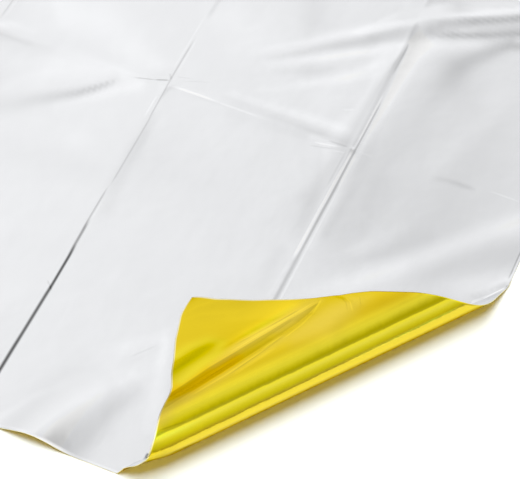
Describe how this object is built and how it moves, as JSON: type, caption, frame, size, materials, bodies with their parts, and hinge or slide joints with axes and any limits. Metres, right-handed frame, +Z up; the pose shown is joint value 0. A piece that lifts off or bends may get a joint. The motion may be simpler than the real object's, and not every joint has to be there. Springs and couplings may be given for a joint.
{
  "type": "emergency foil blanket",
  "caption": "Thin metallised rescue blanket laid out flat, silver side up, with packing creases and a near corner rolled over to show the gold side.",
  "frame": {"origin": "centre of the sheet's outline, on the surface that it lies on", "axes": "+Z up, +Y along the sheet's length, +X across it; the turned corner is at +X, -Y"},
  "size_m": [1.6001, 2.1, 0.0235],
  "materials": {
    "metallised_film": "soft bright aluminium film, silver on the upper side and gold lacquer on the under side"
  },
  "bodies": {
    "root": {"foil_blanket": "metallised_film"}
  },
  "joints": []
}
